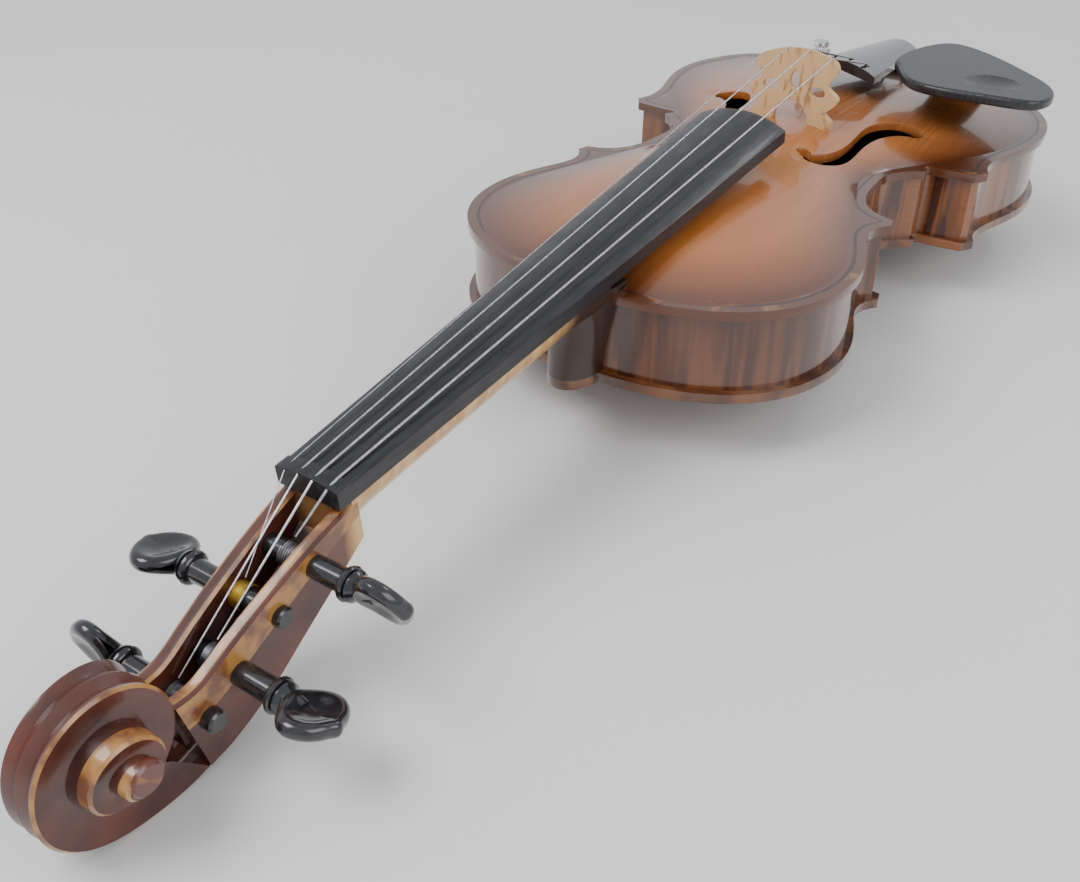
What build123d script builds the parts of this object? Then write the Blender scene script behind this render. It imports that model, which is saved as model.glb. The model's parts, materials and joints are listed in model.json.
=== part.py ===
import math
import os

from build123d import *

os.makedirs("parts", exist_ok=True)

# A full-size violin lying on its back: +X treble side, +Y towards the scroll, +Z out of the
# top. The origin is the crown of the back, below the bridge line.

# ---- driving dimensions ------------------------------------------------------------
body_stop = 195.0          # upper edge of the top plate to the bridge line
body_length = 356.0
rib_height = 31.0
rib_wall = 1.2
edge_thickness = 4.0
edge_overhang = 3.0
top_arch = 15.5            # crown above the inner face of the edge
back_arch = 15.0
plate_wall = 3.0
upper_bout = 84.0          # half widths
waist = 56.0
lower_bout = 104.0
purfling_inset = 4.0
purfling_width = 1.3
purfling_depth = 1.0
lining_wall = 2.0
lining_height = 8.0

neck_slope = 6.2           # degrees between the glue face and the edge plane
nut_distance = 135.5       # upper edge of the top to the nut
board_length = 273.5
board_nut_width = 24.0
board_end_width = 42.0
board_radius = 42.0
board_side = 5.5
overstand = 5.5            # glue face above the edge at the upper edge of the top
nut_thickness = 5.5
neck_depth = 12.5
heel_width = 32.0
button_width = 21.0
button_reach = 13.0
tenon_depth = 6.0

pegbox_width = 24.5
pegbox_wall = 5.0
scroll_width = 14.0
second_turn_width = 27.0
eye_width = 40.0
peg_hole_radius = 3.7
peg_tip_radius = 3.3
peg_fit = 0.04
peg_steps = (17.5, 60.0, 48.0, 32.0)      # G, A, D, E distances behind the nut

bridge_foot_span = 41.0
bridge_height = 35.0
bridge_foot_thickness = 4.5
bridge_top_thickness = 1.4
bridge_spacing = 11.4
nut_spacing = 5.5
string_radius = {"g": 0.42, "d": 0.40, "a": 0.34, "e": 0.20}
string_slot = {"g": -1.5, "d": -0.5, "a": 0.5, "e": 1.5}

tailpiece_length = 104.0
tailpiece_gap = 56.0       # bridge line to the tailpiece
tailpiece_wide = 42.0
tailpiece_narrow = 22.0
saddle_width = 35.0
button_radius = 6.75
seat_gap = 0.3

# ---- places worked out from them ---------------------------------------------------
upper_edge = body_stop
tail_edge = body_stop - body_length
back_face = back_arch                       # inner face of the back's edge
back_bottom = back_face - edge_thickness
top_face = back_face + rib_height           # inner face of the top's edge
top_level = top_face + edge_thickness
slope = math.radians(neck_slope)
nut_y = upper_edge + nut_distance
nut_z = top_level + overstand - nut_distance * math.tan(slope)
top_crown = top_face + top_arch


def neck_point(along, up):
    """A point behind the nut (along) and above the glue face (up), as y and z."""
    y = nut_y + along * math.cos(slope) + up * math.sin(slope)
    z = nut_z - along * math.sin(slope) + up * math.cos(slope)
    return y, z


side_plane = Plane(origin=(0, nut_y, nut_z), x_dir=(0, math.cos(slope), -math.sin(slope)),
                   z_dir=(1, 0, 0))


def cross_plane(along):
    """A plane square to the neck, x to treble and y up."""
    y, z = neck_point(along, 0)
    return Plane(origin=(0, y, z), x_dir=(1, 0, 0), z_dir=(0, -math.cos(slope), math.sin(slope)))


def finish(piece, name):
    piece.part.label = name
    export_step(piece.part, "parts/" + name + ".step")


# ---- body outline --------------------------------------------------------------------
def half_outline():
    """The right half: upper bout, corner, waist, corner and lower bout."""
    top = upper_edge
    upper = [(0, top), (30, top - 2.6), (58, top - 14), (upper_bout - 8, top - 33),
             (upper_bout, top - 60), (upper_bout - 4, top - 88), (upper_bout - 11, top - 109),
             (upper_bout - 6, top - 123)]
    middle = [(upper_bout - 7.5, top - 129), (waist + 8, top - 135.5), (waist + 1.5, top - 149),
              (waist, top - 165), (waist + 3.5, top - 185), (lower_bout - 33, top - 199),
              (lower_bout - 13, top - 204)]
    lower = [(lower_bout - 9, top - 210.5), (lower_bout - 11.5, top - 225),
             (lower_bout - 6, top - 248), (lower_bout, top - 284), (lower_bout - 10, top - 320),
             (lower_bout - 40, tail_edge + 12), (lower_bout - 74, tail_edge + 2.5),
             (0, tail_edge)]
    return upper, middle, lower


def crossing(first, second):
    """Where two chains of points cross, as both positions and the point."""
    for i in range(len(first) - 1, 0, -1):
        ax, ay = first[i - 1]
        bx, by = first[i]
        for j in range(len(second) - 1):
            cx, cy = second[j]
            dx, dy = second[j + 1]
            span = (bx - ax) * (dy - cy) - (by - ay) * (dx - cx)
            if abs(span) < 1e-12:
                continue
            s = ((cx - ax) * (dy - cy) - (cy - ay) * (dx - cx)) / span
            t = ((cx - ax) * (by - ay) - (cy - ay) * (bx - ax)) / span
            if 0 <= s <= 1 and 0 <= t <= 1:
                return i, j, (ax + s * (bx - ax), ay + s * (by - ay))
    return None


def drawn_in(curve, inset, count):
    """Points along a curve that is followed clockwise, moved into the body by inset."""
    points = []
    for step in range(count + 1):
        place = curve @ (step / count)
        along = curve % (step / count)
        points.append((place.X + inset * along.Y, place.Y - inset * along.X))
    return points


def outline(inset):
    """A flat face of the body outline, drawn in by inset."""
    upper, middle, lower = half_outline()
    curves = [Spline(*upper, tangents=[(1, 0), (0.75, -1)]), Line(upper[-1], middle[0]),
              Spline(*middle, tangents=[(-1, -0.2), (1, -0.1)]), Line(middle[-1], lower[0]),
              Spline(*lower, tangents=[(-0.6, -1), (-1, 0)])]
    chains = [drawn_in(curve, inset, 80) for curve in curves]
    kept = [chains[0]]
    for tip, bout in ((chains[1], chains[2]), (chains[3], chains[4])):
        on_tip = crossing(kept[-1], tip)
        off_tip = crossing(tip, bout)
        if inset == 0:
            kept += [tip, bout]
        elif on_tip and off_tip and on_tip[1] < off_tip[0]:
            kept[-1] = kept[-1][:on_tip[0]] + [on_tip[2]]
            kept += [[on_tip[2], off_tip[2]], [off_tip[2]] + bout[off_tip[1] + 1:]]
        else:
            meeting = crossing(kept[-1], bout)
            kept[-1] = kept[-1][:meeting[0]] + [meeting[2]]
            kept.append([meeting[2]] + bout[meeting[1] + 1:])
    with BuildSketch() as face:
        with BuildLine():
            for chain in kept:
                if len(chain) == 2 or (inset == 0 and chain in (chains[1], chains[3])):
                    Line(chain[0], chain[-1])
                else:
                    Spline(chain[0], *chain[3:-3:5], chain[-1])
            Line(kept[-1][-1], kept[0][0])
        make_face()
        mirror(about=Plane.YZ)
    return face.sketch


block_inset = edge_overhang + rib_wall
edge_face = outline(0)
rib_outer_face = outline(edge_overhang)
rib_inner_face = outline(block_inset)
lining_inner_face = outline(block_inset + lining_wall)
purfling_outer_face = outline(purfling_inset)
purfling_inner_face = outline(purfling_inset + purfling_width)


def half_width(y):
    """Half the body's width at y, read between the outline's points."""
    points = sorted(sum(half_outline(), []), key=lambda point: point[1])
    for low, high in zip(points, points[1:]):
        if low[1] <= y <= high[1]:
            share = (y - low[1]) / (high[1] - low[1])
            return low[0] + share * (high[0] - low[0])
    return 0.0


arch_stations = (-154, -140, -115, -89, -50, 0, 30, 60, 100, 135, 160, 180, 189)
arch_margin = 7.0


def arch_height(y, crown):
    middle = (upper_edge + tail_edge) / 2
    share = abs(y - middle) / (body_length / 2 - 4.0)
    return crown * (1 - share ** 2.6)


def arch(face_level, crown, outward, margin, drop):
    """The bulge of a plate: cross arches lofted from tail to neck."""
    with BuildPart() as dome:
        for y in arch_stations:
            width = half_width(y) - margin
            height = max(arch_height(y, crown) - drop, 0.25)
            with BuildSketch(Plane.XZ.offset(-y)):
                with BuildLine():
                    base = Line((-width, face_level), (width, face_level))
                    Spline(base @ 1, (0.62 * width, face_level + outward * 0.52 * height),
                           (0, face_level + outward * height),
                           (-0.62 * width, face_level + outward * 0.52 * height), base @ 0)
                make_face()
        loft()
    return dome.part


top_bulge = arch(top_level, top_crown - top_level, 1, arch_margin, 0)
top_hollow = arch(top_face, top_arch, 1, arch_margin + 5, plate_wall)
back_bulge = arch(back_bottom, back_bottom, -1, arch_margin, 0)
back_hollow = arch(back_face, back_arch, -1, arch_margin + 5, plate_wall)


# ---- neck, heel, pegbox and scroll in one piece of wood ----------------------------
pegbox_end = 71.0
cheek_line = [(-1, -0.6), (16, -4.0), (32, -8.6), (47, -13.8), (60, -19.5), (71, -21)]
scroll_line = [(66, -20.5), (67, -8), (75, 0.5), (90, 0.5), (102, -7), (107, -19),
               (105.5, -32), (98.5, -42)]
back_line = [(98.5, -42), (85, -47.5), (70, -48.5), (55, -46.5), (40, -40.5), (25, -31.5),
             (10, -22.5), (-1, -15.5)]
eye_centre = (85.0, -18.5)
peg_line_start = -3.2
peg_line_slope = -0.455

with BuildPart() as neck:
    shaft_sections = ((0.5, board_nut_width, neck_depth + 1.5), (-50, 27.5, neck_depth),
                      (-100, 30.5, neck_depth + 0.8), (-142.5, heel_width, neck_depth + 3))
    for along, width, depth in shaft_sections:
        with BuildSketch(cross_plane(along)):
            Ellipse(width / 2, depth)
            Rectangle(width * 2, depth * 2, align=(Align.CENTER, Align.MIN), mode=Mode.SUBTRACT)
    loft()
    heel_root = upper_edge - edge_overhang - tenon_depth
    heel_sections = ((back_face, button_width, button_reach), (30, 24.5, 12.5),
                     (40, 28, 16), (top_level, heel_width - 0.4, 26), (54.0, heel_width, 33))
    for level, width, reach in heel_sections:
        with BuildSketch(Plane.XY.offset(level)):
            with Locations((0, heel_root)):
                Ellipse(width / 2, reach + tenon_depth + edge_overhang)
                Rectangle(width * 2, reach * 4, align=(Align.CENTER, Align.MAX),
                          mode=Mode.SUBTRACT)
    loft()
    with BuildSketch(side_plane):
        with BuildLine():
            Line((-1, -15.5), (-1, -0.6))
            Spline(*cheek_line)
            Line(cheek_line[-1], (pegbox_end, -48.4))
            Spline((pegbox_end, -48.4), *back_line[3:])
        make_face()
    extrude(amount=pegbox_width / 2, both=True)
    with BuildSketch(side_plane):
        with BuildLine():
            Line((60, -47.0), (60, -19.5))
            Line((60, -19.5), (66, -20.5))
            Spline(*scroll_line)
            Spline(*back_line[:3], (60, -47.0))
        make_face()
    extrude(amount=scroll_width / 2, both=True)
    with BuildSketch(side_plane):
        with Locations(eye_centre):
            Circle(13)
    extrude(amount=second_turn_width / 2, both=True)
    with BuildSketch(side_plane):
        with Locations(eye_centre):
            Circle(6)
    extrude(amount=eye_width / 2, both=True)
    # the cheeks come closer together towards the scroll
    for side in (-1, 1):
        with BuildSketch(Plane(origin=(0, nut_y, nut_z), x_dir=(1, 0, 0),
                               z_dir=(0, math.sin(slope), math.cos(slope)))):
            with BuildLine():
                Polyline((side * pegbox_width / 2, 0), (side * (pegbox_width / 2 + 3), 0),
                         (side * (pegbox_width / 2 + 3), pegbox_end),
                         (side * (pegbox_width / 2 - 2.2), pegbox_end), close=True)
            make_face()
        extrude(amount=-60, mode=Mode.SUBTRACT)
    # the trough for the strings and the peg shafts
    with BuildSketch(side_plane):
        with BuildLine():
            Polyline((4, 5), (4, -14), (14, -21), (28, -29), (43, -37), (60, -41),
                     (66.5, -37), (66.5, 5), close=True)
        make_face()
    extrude(amount=pegbox_width / 2 - pegbox_wall, both=True, mode=Mode.SUBTRACT)
    # the glue face is cut back to the plane of the fingerboard
    with BuildSketch(side_plane):
        with Locations((-70, 0)):
            Rectangle(160, 30, align=(Align.CENTER, Align.MIN))
    extrude(amount=40, both=True, mode=Mode.SUBTRACT)


def peg_place(along):
    return neck_point(along, peg_line_start + peg_line_slope * along)


peg_names = ("g", "a", "d", "e")
peg_side = {"g": -1, "d": -1, "a": 1, "e": 1}
peg_along = dict(zip(peg_names, peg_steps))
peg_turn = {"g": 62.0, "d": 20.0, "a": 75.0, "e": 15.0}
peg_reach = 24.0           # pegbox centre to the collar
peg_head_length = 17.0
peg_head_width = 22.0
peg_tip = 10.8


def peg_plane(name):
    y, z = peg_place(peg_along[name])
    turn = math.radians(peg_turn[name])
    return Plane(origin=(0, y, z), x_dir=(0, math.cos(turn), math.sin(turn)),
                 z_dir=(peg_side[name], 0, 0))


with BuildPart() as neck_bored:
    add(neck.part)
    for name in peg_names:
        with Locations(peg_plane(name).location):
            with Locations((0, 0, -20)):
                Cone(peg_tip_radius + peg_fit - 0.08, peg_hole_radius + peg_fit + 0.08, 40,
                     align=(Align.CENTER, Align.CENTER, Align.MIN), mode=Mode.SUBTRACT)

# ---- plates, purfling and ribs -----------------------------------------------------
f_hole_upper = (21.0, 33.0)
f_hole_lower = (52.0, -33.0)


with BuildPart() as f_holes:
    for side in (-1, 1):
        with BuildSketch(Plane.XY.offset(top_face - 2)):
            with Locations((side * f_hole_upper[0], f_hole_upper[1])):
                Circle(3.6)
            with Locations((side * f_hole_lower[0], f_hole_lower[1])):
                Circle(4.9)
            with BuildLine():
                Spline((side * 17.6, 32), (side * 27, 40), (side * 35.5, 31), (side * 39, 3),
                       (side * 46, -22), (side * 56, -30))
                Line((side * 56, -30), (side * 54.5, -37))
                Spline((side * 54.5, -37), (side * 43.5, -39.5), (side * 34.5, -28),
                       (side * 32.5, -1), (side * 28.5, 24), (side * 24, 31))
                Line((side * 24, 31), (side * 17.6, 32))
            make_face()
        extrude(amount=30)

with BuildPart() as top_ring:
    with BuildSketch(Plane.XY.offset(top_level - purfling_depth)):
        add(purfling_outer_face - purfling_inner_face)
    extrude(amount=purfling_depth)

with BuildPart() as back_ring:
    with BuildSketch(Plane.XY.offset(back_bottom)):
        add(purfling_outer_face - purfling_inner_face)
    extrude(amount=purfling_depth)

with BuildPart() as top_plate:
    with BuildSketch(Plane.XY.offset(top_face)):
        add(edge_face)
    extrude(amount=edge_thickness)
    add(top_bulge)
    add(top_hollow, mode=Mode.SUBTRACT)
    add(top_ring.part, mode=Mode.SUBTRACT)
    add(f_holes.part, mode=Mode.SUBTRACT)
    add(neck_bored.part, mode=Mode.SUBTRACT)
    with Locations((0, tail_edge, top_level)):
        Box(saddle_width, 16, 20, mode=Mode.SUBTRACT)
finish(top_plate, "top_plate")

with BuildPart() as back_plate:
    with BuildSketch(Plane.XY.offset(back_bottom)):
        add(edge_face)
        with Locations((0, upper_edge - edge_overhang)):
            Ellipse(button_width / 2, button_reach + edge_overhang)
    extrude(amount=edge_thickness)
    add(back_bulge)
    add(back_hollow, mode=Mode.SUBTRACT)
    add(back_ring.part, mode=Mode.SUBTRACT)
finish(back_plate, "back_plate")

with BuildPart() as top_purfling:
    add(top_ring.part)
    add(neck_bored.part, mode=Mode.SUBTRACT)
    with Locations((0, tail_edge, top_level)):
        Box(saddle_width, 16, 20, mode=Mode.SUBTRACT)
finish(top_purfling, "top_purfling")

with BuildPart() as back_purfling:
    add(back_ring.part)
finish(back_purfling, "back_purfling")

upper_corner_y = upper_edge - 124.5
lower_corner_y = upper_edge - 208.5
rib_bands = {"upper": (upper_corner_y, upper_edge + 20), "center": (lower_corner_y, upper_corner_y),
             "lower": (tail_edge - 20, lower_corner_y)}
for band, (low, high) in rib_bands.items():
    for side_name, side in (("bass", -1), ("treble", 1)):
        with BuildPart() as rib:
            with BuildSketch(Plane.XY.offset(back_face)):
                add(rib_outer_face - rib_inner_face)
                with Locations((side * 75, (low + high) / 2)):
                    Rectangle(150, high - low, mode=Mode.INTERSECT)
            extrude(amount=rib_height)
            add(neck_bored.part, mode=Mode.SUBTRACT)
            with Locations(Location((0, tail_edge, back_face + rib_height / 2), (90, 0, 0))):
                Cylinder(button_radius + seat_gap, 40, mode=Mode.SUBTRACT)
        finish(rib, band + "_rib_" + side_name)

with BuildPart() as upper_block:
    with BuildSketch(Plane.XY.offset(back_face)):
        add(rib_inner_face)
        with Locations((0, upper_edge - block_inset)):
            Rectangle(52, 32, mode=Mode.INTERSECT)
    extrude(amount=rib_height)
    add(neck_bored.part, mode=Mode.SUBTRACT)
finish(upper_block, "upper_block")

with BuildPart() as lower_block:
    with BuildSketch(Plane.XY.offset(back_face)):
        add(rib_inner_face)
        with Locations((0, tail_edge + block_inset)):
            Rectangle(50, 34, mode=Mode.INTERSECT)
    extrude(amount=rib_height)
    with Locations(Location((0, tail_edge, back_face + rib_height / 2), (90, 0, 0))):
        Cylinder(4.0, 80, mode=Mode.SUBTRACT)
finish(lower_block, "lower_block")

with BuildPart() as corner_blocks:
    for side in (-1, 1):
        with BuildSketch(Plane.XY.offset(back_face)):
            add(rib_inner_face)
            with Locations((side * (upper_bout - 4), upper_corner_y)):
                Rectangle(36, 40, mode=Mode.INTERSECT)
        extrude(amount=rib_height)
        with BuildSketch(Plane.XY.offset(back_face)):
            add(rib_inner_face)
            with Locations((side * (lower_bout - 8), lower_corner_y)):
                Rectangle(46, 40, mode=Mode.INTERSECT)
        extrude(amount=rib_height)
finish(corner_blocks, "corner_blocks")


def lining(level, name):
    with BuildPart() as strip:
        with BuildSketch(Plane.XY.offset(level)):
            add(rib_inner_face - lining_inner_face)
        extrude(amount=lining_height)
        add(upper_block.part, mode=Mode.SUBTRACT)
        add(lower_block.part, mode=Mode.SUBTRACT)
        add(corner_blocks.part, mode=Mode.SUBTRACT)
        add(neck_bored.part, mode=Mode.SUBTRACT)
        with Locations((0, tail_edge + 18, level)):
            Box(40, 34, 60, mode=Mode.SUBTRACT)
    finish(strip, name)


lining(top_face - lining_height, "top_linings")
lining(back_face, "back_linings")

with BuildPart() as bass_bar:
    with Locations((-17, 0, top_face)):
        Box(5.5, 270, 14, align=(Align.CENTER, Align.CENTER, Align.MIN))
    add(top_hollow, mode=Mode.INTERSECT)
    with Locations((-17, 0, top_face - 3)):
        Box(5.5, 250, 6, align=(Align.CENTER, Align.CENTER, Align.MIN))
finish(bass_bar, "bass_bar")

with BuildPart() as sound_post:
    with Locations((17, -6, 0)):
        Cylinder(3, 80, align=(Align.CENTER, Align.CENTER, Align.MIN))
    with BuildPart(mode=Mode.PRIVATE) as air:
        add(top_hollow)
        add(back_hollow)
        with Locations((0, 0, back_face)):
            Box(80, 60, rib_height, align=(Align.CENTER, Align.CENTER, Align.MIN))
    add(air.part, mode=Mode.INTERSECT)
finish(sound_post, "sound_post")

# ---- fingerboard, nut and saddle ---------------------------------------------------


def board_section(width, extra):
    """The crowned section of the fingerboard."""
    crown = board_radius - math.sqrt(board_radius ** 2 - (width / 2) ** 2)
    with BuildSketch() as section:
        with BuildLine():
            Polyline((-width / 2, board_side + extra), (-width / 2, 0), (width / 2, 0),
                     (width / 2, board_side + extra))
            ThreePointArc((width / 2, board_side + extra), (0, board_side + crown + extra),
                          (-width / 2, board_side + extra))
        make_face()
    return section.sketch


with BuildPart() as fingerboard:
    for along, width in ((0, board_nut_width), (-board_length, board_end_width)):
        with BuildSketch(cross_plane(along)):
            add(board_section(width, 0))
    loft()
    hollow_start = -nut_distance - 22
    for along, reach in ((hollow_start, 5.0), (-board_length - 1, 7.5)):
        with BuildSketch(cross_plane(along)):
            Ellipse(board_end_width / 2 - 7, reach)
    loft(mode=Mode.SUBTRACT)

with BuildPart() as nut_blank:
    with BuildSketch(cross_plane(0)):
        add(board_section(board_nut_width, 0.8))
    extrude(amount=-nut_thickness)

with BuildPart() as saddle:
    with Locations((0, tail_edge + 1.0, top_face)):
        Box(saddle_width - 0.1, 8, 12.0, align=(Align.CENTER, Align.CENTER, Align.MIN))
    fillet(saddle.edges().filter_by(Axis.X).group_by(Axis.Z)[-1], 2.5)
    with Locations((0, tail_edge - 3 + edge_overhang, top_face)):
        Box(saddle_width, 2 * edge_overhang, 0.01, mode=Mode.SUBTRACT)
finish(saddle, "saddle")

# ---- bridge ------------------------------------------------------------------------
bridge_top = top_crown + bridge_height


def bridge_level(x):
    """Height of the bridge's crown at x."""
    return bridge_top - (board_radius - math.sqrt(board_radius ** 2 - x ** 2)) - 0.06 * x


with BuildPart() as bridge_blank:
    foot = bridge_foot_span / 2
    with BuildSketch(Plane.XZ):
        with BuildLine():
            Spline((-19.5, bridge_level(-19.5)), (0, bridge_level(0)), (19.5, bridge_level(19.5)))
            Spline((19.5, bridge_level(19.5)), (20.5, top_crown + 25), (17, top_crown + 19),
                   (22.5, top_crown + 14), (19.5, top_crown + 8.5), (15.5, top_crown + 6.5))
            Polyline((15.5, top_crown + 6.5), (foot, top_crown + 2.5), (foot, top_crown - 4),
                     (foot - 10.5, top_crown - 4), (foot - 12, top_crown + 4))
            ThreePointArc((foot - 12, top_crown + 4), (0, top_crown + 10),
                          (12 - foot, top_crown + 4))
            Polyline((12 - foot, top_crown + 4), (10.5 - foot, top_crown - 4),
                     (-foot, top_crown - 4), (-foot, top_crown + 2.5),
                     (-15.5, top_crown + 6.5))
            Spline((-15.5, top_crown + 6.5), (-19.5, top_crown + 8.5), (-22.5, top_crown + 14),
                   (-17, top_crown + 19), (-20.5, top_crown + 25), (-19.5, bridge_level(-19.5)))
        make_face()
        with Locations((0, top_crown + 19.5)):
            Ellipse(2.6, 4.2, mode=Mode.SUBTRACT)
        with Locations((-12, top_crown + 15.5), (12, top_crown + 15.5)):
            Ellipse(4.2, 2.9, mode=Mode.SUBTRACT)
    extrude(amount=bridge_foot_thickness / 2, both=True)
    taper = (bridge_foot_thickness - bridge_top_thickness) / 2
    for side in (-1, 1):
        with BuildSketch(Plane.YZ):
            with BuildLine():
                Polyline((side * bridge_foot_thickness / 2, top_crown + 6),
                         (side * (bridge_foot_thickness / 2 - taper), bridge_top + 1),
                         (side * bridge_foot_thickness, bridge_top + 1),
                         (side * bridge_foot_thickness, top_crown + 6), close=True)
            make_face()
        extrude(amount=30, both=True, mode=Mode.SUBTRACT)

# ---- strings -----------------------------------------------------------------------
tail_rise = 0.1
tailpiece_front = -tailpiece_gap
tailpiece_top = bridge_top - 18.0


def tail_level(y):
    return tailpiece_top - (tailpiece_front - y) * tail_rise


winding_offset = {"g": -3.2, "d": -0.5, "a": 3.2, "e": 3.6}
winding_radius = 5.1
tailpiece_spread = 8.6
strings = {}
for name in ("g", "d", "a", "e"):
    slot = string_slot[name]
    radius = string_radius[name]
    nut_x = slot * nut_spacing
    nut_crown = board_radius - math.sqrt(board_radius ** 2 - nut_x ** 2)
    edge_crown = board_radius - math.sqrt(board_radius ** 2 - (board_nut_width / 2) ** 2)
    nut_up = board_side + 0.8 + edge_crown - nut_crown
    front_y, front_z = neck_point(0.6, nut_up)
    rear_y, rear_z = neck_point(nut_thickness - 0.6, nut_up - 0.5)
    peg_y, peg_z = peg_place(peg_along[name])
    bridge_x = slot * bridge_spacing
    tail_x = slot * tailpiece_spread
    hook_y = tailpiece_front - 9
    if name == "e":
        hook_y = tailpiece_front + seat_gap * 2 + 3.8
    over = winding_radius + radius + seat_gap
    points = [(winding_offset[name], peg_y - 1.5, peg_z + over * 0.98),
              (nut_x, rear_y, rear_z), (nut_x, front_y, front_z),
              (bridge_x, 0, bridge_level(bridge_x)),
              (tail_x, hook_y, tail_level(hook_y) + 1.0 - abs(slot) * 1.4),
              (tail_x, hook_y - 1.5, tail_level(hook_y) - 5.0 - abs(slot) * 1.4)]
    if name == "e":
        points = points[:4] + [(tail_x, hook_y, tail_level(hook_y) + 3.0)]
    with BuildPart() as string:
        with BuildLine() as route:
            FilletPolyline(*points, radius=1.2)
        start = route.line @ 0
        direction = route.line % 0
        with BuildSketch(Plane(origin=start, z_dir=direction)):
            Circle(radius)
        sweep(transition=Transition.RIGHT)
    strings[name] = string.part
    finish(string, "string_" + name)

with BuildPart() as nut:
    add(nut_blank.part)
    for name in strings:
        add(strings[name], mode=Mode.SUBTRACT)
finish(nut, "nut")

with BuildPart() as bridge:
    add(bridge_blank.part)
    add(top_bulge, mode=Mode.SUBTRACT)
    for name in strings:
        add(strings[name], mode=Mode.SUBTRACT)
finish(bridge, "bridge")

finish(fingerboard, "fingerboard")
finish(neck_bored, "neck")

# ---- pegs and their windings -------------------------------------------------------
for name in peg_names:
    with BuildPart(peg_plane(name)) as peg:
        with Locations((0, 0, -peg_tip - 2.2)):
            Cone(peg_tip_radius - 0.02, peg_hole_radius, peg_tip + 2.2 + peg_reach,
                 align=(Align.CENTER, Align.CENTER, Align.MIN))
        with Locations((0, 0, peg_reach - 1.5)):
            Cone(peg_hole_radius, 5.4, 1.5, align=(Align.CENTER, Align.CENTER, Align.MIN))
        with Locations((0, 0, peg_reach)):
            Cylinder(5.4, 1.6, align=(Align.CENTER, Align.CENTER, Align.MIN))
        with Locations((0, 0, peg_reach + 1.6)):
            Cone(4.6, 3.2, 3, align=(Align.CENTER, Align.CENTER, Align.MIN))
    with BuildPart() as peg_whole:
        add(peg.part)
        frame_plane = peg_plane(name)
        flat = Plane(origin=frame_plane.origin, x_dir=frame_plane.x_dir,
                     z_dir=frame_plane.y_dir)
        sign = 1 if (flat.y_dir.dot(frame_plane.z_dir) > 0) else -1
        with BuildSketch(flat):
            with Locations((0, sign * (peg_reach + 4 + peg_head_length / 2))):
                Ellipse(peg_head_width / 2, peg_head_length / 2)
        extrude(amount=3.0, both=True)
    finish(peg_whole, "peg_" + name)
    with BuildPart() as winding:
        offset_x = winding_offset[name] * peg_side[name]
        with Locations(peg_plane(name).location * Location((0, 0, offset_x))):
            Cylinder(winding_radius, 5.2)
        add(peg_whole.part, mode=Mode.SUBTRACT)
    finish(winding, "winding_" + name)

# ---- tailpiece, gut, end button and fine tuner -------------------------------------
tailpiece_rear = tailpiece_front - tailpiece_length
tailpiece_thickness = 4.5

with BuildPart() as tailpiece:
    for y, width, rise in ((tailpiece_front, tailpiece_wide, 6.0),
                           (tailpiece_rear, tailpiece_narrow, 4.0)):
        level = tail_level(y)
        with BuildSketch(Plane.XZ.offset(-y)):
            with BuildLine():
                Polyline((-width / 2, level - rise), (-width / 2, level - rise - 3.5),
                         (0, level - tailpiece_thickness), (width / 2, level - rise - 3.5),
                         (width / 2, level - rise))
                ThreePointArc((width / 2, level - rise), (0, level), (-width / 2, level - rise))
            make_face()
    loft()
    for name in ("g", "d", "a"):
        with Locations((string_slot[name] * tailpiece_spread, tailpiece_front - 9.8,
                        tailpiece_top)):
            Cylinder(1.4, 30, mode=Mode.SUBTRACT)
        with Locations((string_slot[name] * tailpiece_spread, tailpiece_front - 5,
                        tailpiece_top)):
            Box(1.3, 9, 30, mode=Mode.SUBTRACT)
    tuner_x = string_slot["e"] * tailpiece_spread
    tuner_y = tailpiece_front - 8
    with Locations((tuner_x, tuner_y, tailpiece_top)):
        Cylinder(2.0, 40, mode=Mode.SUBTRACT)
    gut_spacing = 6.0
    for side in (-1, 1):
        with Locations(Location((side * gut_spacing, tailpiece_rear,
                                 tail_level(tailpiece_rear) - 5.2), (90, 0, 0))):
            Cylinder(1.1, 16, mode=Mode.SUBTRACT)
finish(tailpiece, "tailpiece")

tuner_seat = tail_level(tuner_y) - 1.3
ear_y = tailpiece_front + seat_gap + 2.6
pin_level = tuner_seat - 4.0
pin_radius = 0.8
lever_width = 1.8
slot_width = 2.3
with BuildPart() as tuner_body:
    with Locations((tuner_x, tailpiece_front - 3.5, tuner_seat)):
        Box(7, 19, 3.6, align=(Align.CENTER, Align.CENTER, Align.MIN))
    with Locations((tuner_x, ear_y, tuner_seat - 7)):
        Box(5.6, 5.2, 9, align=(Align.CENTER, Align.CENTER, Align.MIN))
    add(tailpiece.part, mode=Mode.SUBTRACT)
    with Locations((tuner_x, tuner_y, tuner_seat)):
        Cylinder(1.55, 30, mode=Mode.SUBTRACT)
    with Locations((tuner_x, ear_y + 0.6, tuner_seat)):
        Box(slot_width, 7, 30, mode=Mode.SUBTRACT)
    with Locations(Location((tuner_x, ear_y, pin_level), (0, 90, 0))):
        Cylinder(pin_radius, 20, mode=Mode.SUBTRACT)
finish(tuner_body, "tuner_body")

with BuildPart() as tuner_pin:
    with Locations(Location((tuner_x, ear_y, pin_level), (0, 90, 0))):
        Cylinder(pin_radius, 5.6)
finish(tuner_pin, "tuner_pin")

with BuildPart() as tuner_screw:
    with Locations((tuner_x, tuner_y, tuner_seat - 11)):
        Cylinder(1.5, 17, align=(Align.CENTER, Align.CENTER, Align.MIN))
    with Locations((tuner_x, tuner_y, tuner_seat + 5.4)):
        Cylinder(4.0, 2.6, align=(Align.CENTER, Align.CENTER, Align.MIN))
finish(tuner_screw, "tuner_screw")

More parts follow.
